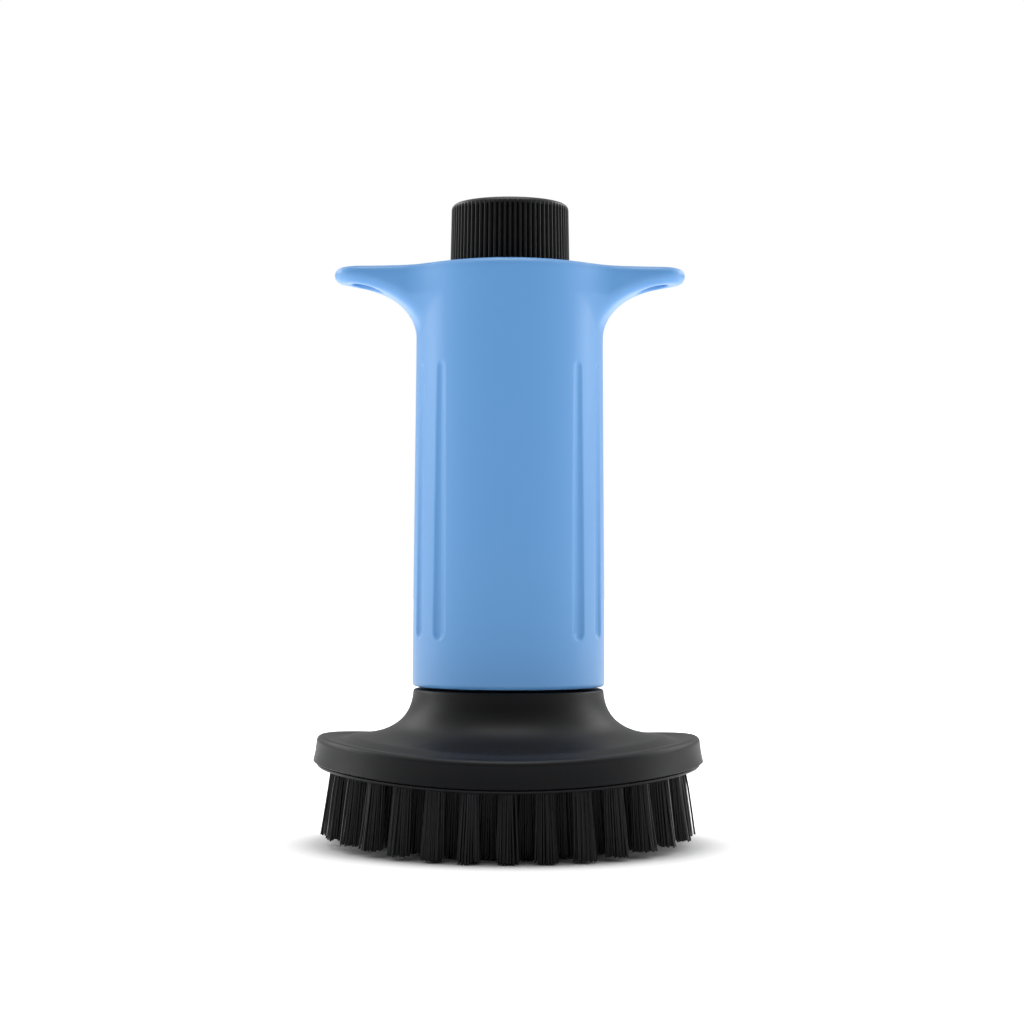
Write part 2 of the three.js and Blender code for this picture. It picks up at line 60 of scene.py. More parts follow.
class Wire:
    """One shader socket; arithmetic on it adds Math nodes."""

    def __init__(self, board: "Board", socket: bpy.types.NodeSocket) -> None:
        """Keep the socket and the board that it is on."""
        self.board = board
        self.socket = socket

    def _math(self, operation: str, *values: "Wire | float") -> "Wire":
        """Add one Math node."""
        inputs = {index: value for index, value in enumerate(values)}
        return self.board.node("ShaderNodeMath", {"operation": operation}, inputs)

    def __add__(self, other: "Wire | float") -> "Wire":
        """Return self + other."""
        return self._math("ADD", self, other)

    def __radd__(self, other: float) -> "Wire":
        """Return other + self."""
        return self._math("ADD", other, self)

    def __sub__(self, other: "Wire | float") -> "Wire":
        """Return self - other."""
        return self._math("SUBTRACT", self, other)

    def __rsub__(self, other: float) -> "Wire":
        """Return other - self."""
        return self._math("SUBTRACT", other, self)

    def __mul__(self, other: "Wire | float") -> "Wire":
        """Return self * other."""
        return self._math("MULTIPLY", self, other)

    def __rmul__(self, other: float) -> "Wire":
        """Return other * self."""
        return self._math("MULTIPLY", other, self)

    def clamped(self) -> "Wire":
        """Return the value kept between 0 and 1."""
        return self._math("MINIMUM", self._math("MAXIMUM", self, 0.0), 1.0)


class Board:
    """A node tree under construction."""

    def __init__(self, tree: bpy.types.NodeTree) -> None:
        """Start from an empty tree."""
        self.tree = tree
        self.tree.nodes.clear()

    def node(
        self,
        kind: str,
        settings: dict[str, object] | None = None,
        inputs: dict[str | int, object] | None = None,
        output: str | int = 0,
    ) -> Wire:
        """Add a node.

        Args:
            kind: The node's type.
            settings: Attributes that are set before the inputs; "stops" holds a ramp's places and colours.
            inputs: Values or wires, by socket name or number.
            output: The output socket to return.

        Returns:
            The chosen output, wrapped.
        """
        made = self.tree.nodes.new(kind)
        for name, value in (settings or {}).items():
            if name == "stops":
                self._set_stops(made.color_ramp, value)
            else:
                setattr(made, name, value)
        for name, value in (inputs or {}).items():
            if isinstance(value, Wire):
                self.tree.links.new(value.socket, made.inputs[name])
            else:
                made.inputs[name].default_value = value
        return Wire(self, made.outputs[output] if made.outputs else None)

    @staticmethod
    def _set_stops(ramp: bpy.types.ColorRamp, stops: Iterable[tuple[float, float]]) -> None:
        """Give a ramp grey stops, as (place, value)."""
        for index, (place, value) in enumerate(stops):
            stop = ramp.elements[index] if index < 2 else ramp.elements.new(place)
            stop.position = place
            stop.color = (value, value, value, 1.0)

    def coordinates(self, scale: tuple[float, float, float] = (1.0, 1.0, 1.0)) -> Wire:
        """Return Object coordinates in metres, stretched by scale."""
        place = self.node("ShaderNodeTexCoord", output="Object")
        return self.node("ShaderNodeMapping", {}, {"Vector": place, "Scale": scale})

    def noise(self, per_metre: float, detail: float = 2.0, rough: float = 0.5,
              scale: tuple[float, float, float] = (1.0, 1.0, 1.0)) -> Wire:
        """Return a noise value from 0 to 1 with per_metre cells to the metre."""
        inputs = {"Vector": self.coordinates(scale), "Scale": per_metre, "Detail": detail, "Roughness": rough}
        return self.node("ShaderNodeTexNoise", {}, inputs)

    def blend(self, share: Wire, first: tuple[float, ...], second: tuple[float, ...]) -> Wire:
        """Mix two colours by share."""
        settings = {"data_type": "RGBA"}
        inputs = {0: share, 6: (*first, 1.0), 7: (*second, 1.0)}
        return self.node("ShaderNodeMix", settings, inputs, output=2)

    def bump(self, height: Wire, depth_mm: float, strength: float = 1.0) -> Wire:
        """Return a Normal from a height that stands for depth_mm."""
        inputs = {"Height": height, "Distance": depth_mm * MM, "Strength": strength}
        return self.node("ShaderNodeBump", {}, inputs)

    def finish(self, surface: Wire) -> None:
        """Wire the surface to the material's output."""
        self.node("ShaderNodeOutputMaterial", {}, {"Surface": surface})


def new_material(name: str) -> tuple[bpy.types.Material, Board]:
    """Make an empty node material.

    Args:
        name: The material's name.

    Returns:
        The material and its board.
    """
    material = bpy.data.materials.new(name)
    material.use_nodes = True
    return material, Board(material.node_tree)


# ---------------------------------------------------------------- finishes


@dataclass(frozen=True)
class MouldedPlastic:
    """Moulded plastic: a fine eroded grain, slight mottling and faint handling marks."""

    name: str
    colour: tuple[float, float, float]
    shade: tuple[float, float, float]
    roughness: float
    grain_per_metre: float
    grain_mm: float
    specular: float = 0.5
    coat: float = 0.0
    coat_roughness: float = 0.1
    subsurface: float = 0.0

    def material(self) -> bpy.types.Material:
        """Build the node material."""
        material, board = new_material(self.name)
        cloud = board.noise(38.0, 3.0)
        grain = board.noise(self.grain_per_metre, 2.0, 0.6)
        marks = board.noise(900.0, 2.0, 0.5, (1.0, 1.0, 0.06))
        rub = board.node("ShaderNodeValToRGB", {"stops": [(0.56, 0.0), (0.74, 1.0)]}, {0: marks})
        height = grain + marks * 0.25
        inputs = {
            "Base Color": board.blend(cloud, self.shade, self.colour),
            "Roughness": (self.roughness + (cloud - 0.5) * 0.08 + rub * 0.03 + (grain - 0.5) * 0.06),
            "Normal": board.bump(height, self.grain_mm),
            "Specular IOR Level": self.specular,
            "Coat Weight": self.coat,
            "Coat Roughness": self.coat_roughness,
            "Subsurface Weight": self.subsurface,
            "Subsurface Radius": (0.6, 0.8, 1.0),
            "Subsurface Scale": 0.8 * MM,
        }
        board.finish(board.node("ShaderNodeBsdfPrincipled", {}, inputs))
        return material


@dataclass(frozen=True)
class Nylon:
    """Extruded nylon filament; each strand keeps its own shade in the attribute "strand"."""

    name: str
    dark: tuple[float, float, float] = (0.0030, 0.0030, 0.0036)
    light: tuple[float, float, float] = (0.0120, 0.0124, 0.0145)
    roughness: float = 0.34

    def material(self) -> bpy.types.Material:
        """Build the node material."""
        material, board = new_material(self.name)
        strand = board.node("ShaderNodeAttribute", {"attribute_name": "strand"}, output="Fac")
        streak = board.noise(5200.0, 2.0, 0.5, (1.0, 1.0, 0.05))
        inputs = {
            "Base Color": board.blend((strand * 0.7 + streak * 0.3).clamped(), self.dark, self.light),
            "Roughness": self.roughness + strand * 0.16 + (streak - 0.5) * 0.1,
            "Normal": board.bump(streak, 0.01),
            "Specular IOR Level": 0.35,
        }
        board.finish(board.node("ShaderNodeBsdfPrincipled", {}, inputs))
        return material


@dataclass(frozen=True)
class MouldedRubber:
    """Soft black rubber with a dusty bloom."""

    name: str
    colour: tuple[float, float, float] = (0.012, 0.012, 0.013)
    bloom: tuple[float, float, float] = (0.05, 0.05, 0.052)

    def material(self) -> bpy.types.Material:
        """Build the node material."""
        material, board = new_material(self.name)
        dust = board.noise(420.0, 4.0, 0.6)
        grain = board.noise(6000.0, 2.0)
        inputs = {
            "Base Color": board.blend((dust - 0.35).clamped(), self.colour, self.bloom),
            "Roughness": 0.72 + (dust - 0.5) * 0.2,
            "Normal": board.bump(grain, 0.012),
        }
        board.finish(board.node("ShaderNodeBsdfPrincipled", {}, inputs))
        return material


@dataclass(frozen=True)
class DrawnSteel:
    """Bright steel with draw lines along Z."""

    name: str
    colour: tuple[float, float, float] = (0.60, 0.61, 0.62)
    shade: tuple[float, float, float] = (0.42, 0.43, 0.45)

    def material(self) -> bpy.types.Material:
        """Build the node material."""
        material, board = new_material(self.name)
        lines = board.noise(9000.0, 3.0, 0.6, (1.0, 1.0, 0.03))
        cloud = board.noise(260.0, 2.0)
        inputs = {
            "Base Color": board.blend(lines, self.shade, self.colour),
            "Metallic": 1.0,
            "Roughness": 0.24 + lines * 0.12 + (cloud - 0.5) * 0.08,
            "Normal": board.bump(lines, 0.006),
        }
        board.finish(board.node("ShaderNodeBsdfPrincipled", {}, inputs))
        return material


class Finish(Enum):
    """The finishes of the brush, by the record's material slots."""

    BLACK_SHELL = "black_shell"
    BLACK_KNOB = "black_knob"
    BLUE_SHELL = "blue_shell"
    BRISTLE = "bristle"
    CLEAR_BOTTLE = "clear_bottle"
    VALVE_PLASTIC = "valve_plastic"
    RUBBER_SEAL = "rubber_seal"
    STEEL = "steel"


class Paintbox:
    """Makes each finish once and hands it out."""

    def __init__(self) -> None:
        """Describe every finish."""
        self.recipes = {
            Finish.BLACK_SHELL: MouldedPlastic(
                "satin_black_shell", (0.0050, 0.0052, 0.0062), (0.0036, 0.0038, 0.0047),
                0.44, 5200.0, 0.008, specular=0.20,
            ),
            Finish.BLACK_KNOB: MouldedPlastic(
                "satin_black_knob", (0.0042, 0.0043, 0.0049), (0.0030, 0.0031, 0.0036),
                0.36, 5200.0, 0.006, specular=0.30,
            ),
            Finish.BLUE_SHELL: MouldedPlastic(
                "sky_blue_shell", (0.118, 0.322, 0.650), (0.112, 0.311, 0.635),
                0.48, 4200.0, 0.004, specular=0.3, coat=0.35, coat_roughness=0.30, subsurface=0.06,
            ),
            Finish.BRISTLE: Nylon("black_nylon"),
            Finish.CLEAR_BOTTLE: MouldedPlastic("milky_bottle", (0.74, 0.78, 0.80), (0.66, 0.71, 0.74),
                                                0.30, 2600.0, 0.006, subsurface=0.3),
            Finish.VALVE_PLASTIC: MouldedPlastic("natural_acetal", (0.70, 0.72, 0.72), (0.62, 0.64, 0.64),
                                                 0.33, 3200.0, 0.006),
            Finish.RUBBER_SEAL: MouldedRubber("seal_rubber"),
            Finish.STEEL: DrawnSteel("drawn_steel"),
        }
        self.made: dict[Finish, bpy.types.Material] = {}

    def material(self, finish: Finish) -> bpy.types.Material:
        """Return the material of a finish, building it the first time."""
        if finish not in self.made:
            self.made[finish] = self.recipes[finish].material()
        return self.made[finish]


# ---------------------------------------------------------------- mesh tools


def arc(centre: tuple[float, float], radius: float, start: float, end: float, steps: int) -> Profile:
    """Return points on a circular arc.

    Args:
        centre: The centre, as (radius from the axis, height).
        radius: The arc's radius.
        start: The first angle in degrees, from straight outwards.
        end: The last angle in degrees.
        steps: The number of stretches.

    Returns:
        steps + 1 points.
    """
    angles = [math.radians(start + (end - start) * step / steps) for step in range(steps + 1)]
    return [(centre[0] + radius * math.cos(a), centre[1] + radius * math.sin(a)) for a in angles]


def bezier(p0: tuple[float, float], p1: tuple[float, float], p2: tuple[float, float],
           p3: tuple[float, float], steps: int) -> Profile:
    """Return points on a cubic curve.

    Args:
        p0: The start.
        p1: The start's handle.
        p2: The end's handle.
        p3: The end.
        steps: The number of stretches.

    Returns:
        steps + 1 points.
    """
    points = []
    for step in range(steps + 1):
        t = step / steps
        weights = ((1 - t) ** 3, 3 * t * (1 - t) ** 2, 3 * t * t * (1 - t), t**3)
        x = sum(w * p[0] for w, p in zip(weights, (p0, p1, p2, p3)))
        y = sum(w * p[1] for w, p in zip(weights, (p0, p1, p2, p3)))
        points.append((x, y))
    return points


def smoothstep(low: float, high: float, value: float) -> float:
    """Return 0 below low, 1 above high, and a smooth rise between."""
    share = min(max((value - low) / (high - low), 0.0), 1.0)
    return share * share * (3 - 2 * share)


def spun(profile: Profile, steps: int, closed: bool = True) -> bmesh.types.BMesh:
    """Turn an outline into a closed solid round Z.

    Args:
        profile: (radius, height) points, in millimetres.
        steps: The number of facets round the turn.
        closed: True if the outline closes on itself, False if it starts and ends on the axis.

    Returns:
        The solid, in millimetres.
    """
    bm = bmesh.new()
    verts = [bm.verts.new((radius, 0.0, height)) for radius, height in profile]
    pairs = zip(verts, verts[1:] + verts[:1]) if closed else zip(verts, verts[1:])
    edges = [bm.edges.new(pair) for pair in pairs]
    bmesh.ops.spin(bm, geom=verts + edges, cent=(0, 0, 0), axis=(0, 0, 1), angle=math.tau, steps=steps,
                   use_merge=True)
    bmesh.ops.remove_doubles(bm, verts=bm.verts, dist=1e-5)
    bmesh.ops.recalc_face_normals(bm, faces=bm.faces)
    return bm


def reshape(bm: bmesh.types.BMesh, move: Callable[[Vector], Vector]) -> None:
    """Move every vertex of bm to where move puts it."""
    for vert in bm.verts:
        vert.co = move(vert.co)


@dataclass(frozen=True)
class Rocker:
    """The arch of the head along X: nothing at the middle, most at the ends."""

    radius: float = 290.0
    full_below: float = 22.0
    gone_above: float = 30.0

    def rise(self, x: float) -> float:
        """Return the arch's height at x."""
        return self.radius - math.sqrt(self.radius**2 - x * x)

    def bend(self, point: Vector) -> Vector:
        """Lift a point by its share of the arch."""
        share = 1 - smoothstep(self.full_below, self.gone_above, point.z)
        return Vector((point.x, point.y, point.z + self.rise(point.x) * share))


@dataclass
class Piece:
    """What a finished mesh is called, is made of, rides on and stands for."""

    name: str
    body: str
    finish: Finish
    stands_for: tuple[str, ...] = ()
    sharp_degrees: float = 35.0


class Workshop:
    """Turns a bmesh in millimetres into a dressed object in the frame."""

    def __init__(self, paints: Paintbox) -> None:
        """Keep the paintbox."""
        self.paints = paints

    def place(self, bm: bmesh.types.BMesh, piece: Piece) -> bpy.types.Object:
        """Finish a piece.

        Args:
            bm: The mesh, in millimetres; it is freed.
            piece: Its facts.

        Returns:
            The object, at the origin, with its place in its mesh.
        """
        bmesh.ops.scale(bm, vec=(MM, MM, MM), verts=bm.verts)
        mesh = bpy.data.meshes.new(piece.name)
        bm.to_mesh(mesh)
        bm.free()
        return self.dress(mesh, piece)

    def dress(self, mesh: bpy.types.Mesh, piece: Piece) -> bpy.types.Object:
        """Give a mesh in metres its object, shading, finish and body.

        Args:
            mesh: The mesh.
            piece: Its facts.

        Returns:
            The object.
        """
        mesh.shade_smooth()
        mesh.set_sharp_from_angle(angle=math.radians(piece.sharp_degrees))
        mesh.materials.clear()
        mesh.materials.append(self.paints.material(piece.finish))
        made = bpy.data.objects.new(piece.name, mesh)
        bpy.context.scene.collection.objects.link(made)
        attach(made, piece.body)
        if piece.stands_for:
            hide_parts(*piece.stands_for)
        log.info("%s: %d faces on %s", piece.name, len(mesh.polygons), piece.body)
        return made


# ---------------------------------------------------------------- handle


@dataclass
class Handle:
    """The blue tube with its finger wings, clip holes, grip grooves and knob well."""

    bottom: float = 30.8
    top: float = 112.3
    bottom_radius: float = 18.8
    top_radius: float = 18.2
    draft_stop: float = 96.3
    bottom_round: float = 0.6
    top_round: float = 1.45
    deck: float = 3.0
    well_radius: float = 12.1
    bore_radius: float = 16.6
    span: float = 68.4
    tip_radius: float = 5.7
    root_half_width: float = 9.4
    root_x: float = 14.0
    underside: float = 109.2
    root_swell: float = 1.25
    arch_reach: float = 15.0
    arch_height: float = 10.6
    underside_round: float = 1.7
    blend_radius: float = 3.2
    blend_from: float = 99.0
    blend_to: float = 106.5
    hole_radius: float = 3.05
    hole_inset: float = 6.4
    grip_angles: tuple[float, ...] = (45.5, 67.4)
    grip_low: float = 39.4
    grip_high: float = 94.4
    grip_radius: float = 2.3
    grip_depth: float = 0.5
    grip_edge: float = 0.12
    fine_band: float = 0.9
    voxel: float = 0.55
    relax_rounds: int = 4

    @staticmethod
    def _cut(a: np.ndarray, b: np.ndarray, radius: float) -> np.ndarray:
        """Return the part inside both fields, with a round of that radius on the edge."""
        corner = np.hypot(np.maximum(a + radius, 0), np.maximum(b + radius, 0))
        return np.minimum(np.maximum(a, b), -radius) + corner

    @staticmethod
    def _join(a: np.ndarray, b: np.ndarray, radius: np.ndarray) -> np.ndarray:
        """Return the part inside either field, with a fillet of that radius between them."""
        corner = np.hypot(np.maximum(radius - a, 0), np.maximum(radius - b, 0))
        return np.maximum(np.minimum(a, b), radius) - corner

    def _wing_plan(self, x: np.ndarray, y: np.ndarray) -> np.ndarray:
        """Return the distance to the wings' outline seen from above."""
        tip = self.span / 2 - self.tip_radius
        reach = np.clip((tip - x) / (tip - self.root_x), 0, self.root_swell)
        growth = self.root_half_width - self.tip_radius
        half = self.tip_radius + growth * reach**1.7
        slope = growth * 1.7 * reach**0.7 / (tip - self.root_x)
        side = (np.abs(y) - half) / np.sqrt(1 + slope**2)
        return np.where(x > tip, np.hypot(x - tip, y) - self.tip_radius, side)

    def _wing_side(self, radius: np.ndarray, z: np.ndarray) -> np.ndarray:
        """Return the distance to the wings' underside, a quarter ellipse turned round the tube."""
        across = (radius - self.top_radius - self.arch_reach) / self.arch_reach
        up = (z - self.underside + self.arch_height) / self.arch_height
        share = np.maximum(np.hypot(across, up), 1e-6)
        steep = np.maximum(np.hypot(across / self.arch_reach, up / self.arch_height), 1e-6)
        arch = (1 - share) * share / steep
        wall = radius - self.top_radius
        return np.where(up < 0, wall, np.where(across > 0, self.underside - z, arch))

    def _grips(self, p: np.ndarray) -> np.ndarray:
        """Return the distance to the nearest grip groove's bar."""
        nearest = np.full(len(p), 1e3)
        middle = (self.grip_low + self.grip_high) / 2
        reach = self.tube_radius(np.array(middle)) + self.grip_radius - self.grip_depth
        angle = np.abs(np.arctan2(np.abs(p[:, 0]), np.abs(p[:, 1])))
        radius = np.hypot(p[:, 0], p[:, 1])
        height = np.clip(p[:, 2], self.grip_low + self.grip_radius, self.grip_high - self.grip_radius)
        for degrees in self.grip_angles:
            turn = angle - math.radians(degrees)
            along = radius * np.cos(turn) - reach
            aside = radius * np.sin(turn)
            gap = np.sqrt(along**2 + aside**2 + (p[:, 2] - height) ** 2) - self.grip_radius
            nearest = np.minimum(nearest, gap)
        return nearest

    def tube_radius(self, z: np.ndarray) -> np.ndarray:
        """Return the tube's drafted radius at height z."""
        share = np.clip((z - self.bottom) / (self.draft_stop - self.bottom), 0, 1)
        return self.bottom_radius + (self.top_radius - self.bottom_radius) * share

    def surface(self, p: np.ndarray) -> np.ndarray:
        """Return the signed distance of points from the handle's skin.

        Args:
            p: Points, one to a row, in millimetres.

        Returns:
            Negative values inside the plastic.
        """
        x, y, z = np.abs(p[:, 0]), p[:, 1], p[:, 2]
        radius = np.hypot(x, y)
        wing = self._cut(self._wing_plan(x, y), self._wing_side(radius, z), self.underside_round)
        rise = np.clip((z - self.blend_from) / (self.blend_to - self.blend_from), 0.0, 1.0)
        skin = self._join(radius - self.tube_radius(z), wing, 0.02 + self.blend_radius * rise**2)
        skin = self._cut(skin, -self._grips(p), self.grip_edge)
        skin = self._cut(skin, z - self.top, self.top_round)
        skin = self._cut(skin, self.bottom - z, self.bottom_round)
        hole = self.hole_radius - np.hypot(x - (self.span / 2 - self.hole_inset), y)
        skin = self._cut(skin, hole, 0.45)
        skin = self._cut(skin, self.well_radius - radius, 0.5)
        bore = np.minimum(self.bore_radius - radius, self.top - self.deck - z)
        return self._cut(skin, bore, 0.15)

    def settle(self, p: np.ndarray, rounds: int = 5) -> np.ndarray:
        """Move points onto the skin along its slope.

        Args:
            p: Points, one to a row, in millimetres.
            rounds: Newton steps.

        Returns:
            The moved points.
        """
        step = 0.02
        for _ in range(rounds):
            value = self.surface(p)
            rises = [self.surface(p + shift) - self.surface(p - shift) for shift in np.eye(3) * step]
            slope = np.stack([rise / (2 * step) for rise in rises], axis=1)
            length = np.maximum((slope**2).sum(axis=1), 0.25)
            p = p - np.clip(value / length, -0.6, 0.6)[:, None] * slope
        return p

    def _even_mesh(self) -> bmesh.types.BMesh:
        """Return an evenly divided copy of the CAD sleeve, in millimetres."""
        bm = bmesh.new()
        bm.from_mesh(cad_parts["handle_sleeve"].data)
        bmesh.ops.remove_doubles(bm, verts=bm.verts, dist=1e-6)
        bmesh.ops.scale(bm, vec=(1 / MM, 1 / MM, 1 / MM), verts=bm.verts)
        mesh = bpy.data.meshes.new("handle_draft")
        bm.to_mesh(mesh)
        bm.free()
        draft = bpy.data.objects.new("handle_draft", mesh)
        bpy.context.scene.collection.objects.link(draft)
        remesh = draft.modifiers.new("even", "REMESH")
        remesh.mode = "VOXEL"
        remesh.voxel_size = self.voxel
        remesh.use_smooth_shade = True
        evaluated = draft.evaluated_get(bpy.context.evaluated_depsgraph_get())
        even = bmesh.new()
        even.from_mesh(evaluated.to_mesh())
        evaluated.to_mesh_clear()
        bpy.data.objects.remove(draft)
        return even

    def _relax(self, bm: bmesh.types.BMesh, rounds: int) -> None:
        """Even out a mesh while it stays on the skin.

        Args:
            bm: The mesh, in millimetres.
            rounds: How many times it is smoothed and settled.
        """
        for _ in range(rounds):
            bmesh.ops.smooth_vert(bm, verts=bm.verts, factor=0.5, use_axis_x=True, use_axis_y=True,
                                  use_axis_z=True)
            points = self.settle(np.array([vert.co for vert in bm.verts]))
            for vert, point in zip(bm.verts, points):
                vert.co = point

    def build(self, shop: Workshop) -> bpy.types.Object:
        """Build the handle.

        Args:
            shop: Where pieces are finished.

        Returns:
            The handle's object.
        """
        bm = self._even_mesh()
        self._relax(bm, self.relax_rounds)
        near = np.abs(self._grips(np.array([vert.co for vert in bm.verts]))) < self.fine_band
        edges = [edge for edge in bm.edges if all(near[vert.index] for vert in edge.verts)]
        bmesh.ops.subdivide_edges(bm, edges=edges, cuts=1, use_grid_fill=True)
        bm.verts.index_update()
        self._relax(bm, 2)
        piece = Piece("handle_shell", "handle", Finish.BLUE_SHELL, ("handle_sleeve",), 60.0)
        return shop.place(bm, piece)


# ---------------------------------------------------------------- head


@dataclass
class Head:
    """The black flared head: shell, tuft plate and the arch that both follow."""

    rocker: Rocker = field(default_factory=Rocker)
    rim_bottom: float = 13.8
    rim_radius: float = 38.0
    rim_top_radius: float = 37.35
    rim_top: float = 17.82
    lip_round: float = 1.2
    gutter_radius: float = 33.2
    gutter_drop: float = 0.35
    foot_radius: float = 30.0
    foot_height: float = 19.8
    neck_radius: float = 18.6
    neck_height: float = 29.8
    shoulder_height: float = 30.3
    spigot_radius: float = 13.3
    spigot_top: float = 39.8
    bore_radius: float = 11.0
    cup_floor: float = 24.6
    boss_bore: float = 7.4
    underside: float = 17.53
    rim_inner: float = 36.15
    plate_bottom: float = 12.98
    plate_lip: float = 0.52
    plate_lip_radius: float = 37.3
    plate_radius: float = 35.85
    plate_top: float = 17.23
    plate_bore: float = 8.3
    facets: int = 192

    def shell_outline(self) -> Profile:
        """Return the shell's closed outline."""
        lip_top = self.rim_top + self.lip_round
        lip_centre = (self.rim_top_radius - self.lip_round, self.rim_top)
        flare = bezier(
            (self.foot_radius, self.foot_height),
            (self.foot_radius - 6.5, self.foot_height + 1.0),
            (self.neck_radius + 0.6, self.neck_height - 6.8),
            (self.neck_radius, self.neck_height),
            30,
        )
        gutter = bezier(
            (lip_centre[0], lip_top),
            (lip_centre[0] - 1.2, lip_top),
            (self.gutter_radius + 1.2, lip_top - self.gutter_drop),
            (self.gutter_radius, lip_top - self.gutter_drop),
            6,
        )
        rise = bezier(
            (self.gutter_radius, lip_top - self.gutter_drop),
            (self.gutter_radius - 1.2, lip_top - self.gutter_drop),
            (self.foot_radius + 1.3, self.foot_height - 0.2),
            (self.foot_radius, self.foot_height),
            6,
        )
        round_size = self.shoulder_height - self.neck_height
        shoulder = arc((self.neck_radius - round_size, self.neck_height), round_size, 20, 90, 4)
        return [
            (self.rim_inner, self.rim_bottom),
            (self.rim_radius - 0.2, self.rim_bottom),
            (self.rim_radius, self.rim_bottom + 0.15),
            (self.rim_radius - 0.4, (self.rim_bottom + self.rim_top) / 2),
            *arc(lip_centre, self.lip_round, 0, 90, 8),
            *gutter[1:],
            *rise[1:],
            *flare[1:],
            *shoulder,
            (self.spigot_radius, self.shoulder_height),
            (self.spigot_radius, self.spigot_top - 0.4),
            (self.spigot_radius - 0.4, self.spigot_top),
            (self.bore_radius, self.spigot_top),
            (self.bore_radius, self.cup_floor),
            (self.boss_bore, self.cup_floor),
            (self.boss_bore, self.underside),
            (self.rim_inner, self.underside),
        ]

    def plate_outline(self) -> Profile:
        """Return the tuft plate's closed outline."""
        lip = self.plate_bottom + self.plate_lip
        inner = self.plate_bore + 0.3
        span = self.plate_lip_radius - self.plate_bore - 0.6
        bottom = [(inner + span * step / 24, self.plate_bottom) for step in range(25)]
        return [
            (self.plate_bore, self.plate_bottom + 0.3),
            *bottom,
            (self.plate_lip_radius, self.plate_bottom + 0.25),
            (self.plate_lip_radius, lip),
            (self.plate_radius, lip),
            (self.plate_radius, self.plate_top),
            (self.plate_bore, self.plate_top),
        ]

    def build(self, shop: Workshop) -> None:
        """Build the shell and the plate."""
        shell = spun(self.shell_outline(), self.facets)
        reshape(shell, self.rocker.bend)
        shop.place(shell, Piece("head_shell_fine", "brush_head", Finish.BLACK_SHELL, ("head_shell",), 40.0))
        plate = spun(self.plate_outline(), self.facets)
        reshape(plate, self.rocker.bend)
        shop.place(plate, Piece("tuft_plate_fine", "brush_head", Finish.BLACK_SHELL, ("tuft_plate",), 40.0))


@dataclass
class TuftField:
    """Rings of nylon tufts, each a bundle of separate filaments."""

    rocker: Rocker
    counts: tuple[int, ...] = (30, 24, 18, 12)
    outer_radius: float = 32.8
    ring_step: float = 6.6
    root_radius: float = 1.8
    tip_radius: float = 2.35
    lean: float = 1.4
    root_height: float = 13.9
    strand_width: float = 0.40
    strands: tuple[int, ...] = (68, 54, 48, 48)
    seed: int = 41

    def _strand(self) -> bpy.types.Mesh:
        """Return one straight filament of unit length, hanging down from z = 0."""
        bm = bmesh.new()
        radius = self.strand_width / 2
        ring = bmesh.ops.create_circle(bm, cap_ends=True, segments=5, radius=radius)
        faces = list(bm.faces)
        bmesh.ops.reverse_faces(bm, faces=faces)
        for _ in range(3):
            grown = bmesh.ops.extrude_face_region(bm, geom=faces)
            verts = [item for item in grown["geom"] if isinstance(item, bmesh.types.BMVert)]
            bmesh.ops.delete(bm, geom=faces, context="FACES_ONLY")
            faces = [item for item in grown["geom"] if isinstance(item, bmesh.types.BMFace)]
            bmesh.ops.translate(bm, vec=(0, 0, -1 / 3), verts=verts)
        bmesh.ops.recalc_face_normals(bm, faces=bm.faces)
        del ring
        mesh = bpy.data.meshes.new("strand")
        bm.to_mesh(mesh)
        bm.free()
        return mesh

    def _grow(self, bm: bmesh.types.BMesh, strand: bpy.types.Mesh, ring: int, angle: float,
              dice: random.Random) -> None:
        """Add one tuft to bm.

        Args:
            bm: The ring's mesh, in millimetres.
            strand: The filament to copy.
            ring: The ring's number, 0 outermost.
            angle: The tuft's angle in radians.
            dice: The seeded source of variation.
        """
        shade = bm.verts.layers.float["strand"]
        middle = self.outer_radius - ring * self.ring_step
        outward = Vector((math.cos(angle), math.sin(angle), 0.0))
        centre = outward * middle
        rise = self.rocker.rise(centre.x)
        lean = outward * self.lean * (1 - ring / len(self.counts))
        twist = dice.uniform(0, math.tau)
        count = self.strands[ring]
        for index in range(count):
            share = math.sqrt((index + 0.5) / count)
            turn = twist + index * 2.39996
            spoke = Vector((math.cos(turn), math.sin(turn), 0.0))
            root = centre + spoke * share * (self.root_radius - self.strand_width / 2)
            spread = share * (self.tip_radius - self.root_radius) * dice.uniform(0.75, 1.2)
            stray = Vector((dice.gauss(0, 0.10), dice.gauss(0, 0.10), 0.0))
            drift = lean + spoke * spread + stray
            bow = dice.uniform(0.75, 1.35)
            tip = dice.uniform(0.02, 0.6) + (dice.uniform(0.3, 1.0) if dice.random() < 0.12 else 0.0)
            length = self.root_height - tip
            tone = dice.random()
            start = len(bm.verts)
            bm.from_mesh(strand)
            bm.verts.ensure_lookup_table()
            for vert in bm.verts[start:]:
                down = -vert.co.z
                side = root + drift * down**bow
                vert.co = Vector((vert.co.x, vert.co.y, 0.0)) + side
                vert.co.z = self.root_height + rise - down * length
                vert[shade] = tone

    def build(self, shop: Workshop) -> None:
        """Build every ring of tufts."""
        strand = self._strand()
        dice = random.Random(self.seed)
        names = ("outer_tufts", "second_tufts", "third_tufts", "inner_tufts")
        for ring, name in enumerate(names):
            bm = bmesh.new()
            bm.verts.layers.float.new("strand")
            for place in range(self.counts[ring]):
                self._grow(bm, strand, ring, (place + 0.5) * math.tau / self.counts[ring], dice)
            shop.place(bm, Piece(name, "brush_head", Finish.BRISTLE, (f"tuft_ring_{ring + 1}",), 50.0))
        bpy.data.meshes.remove(strand)


# ---------------------------------------------------------------- knob


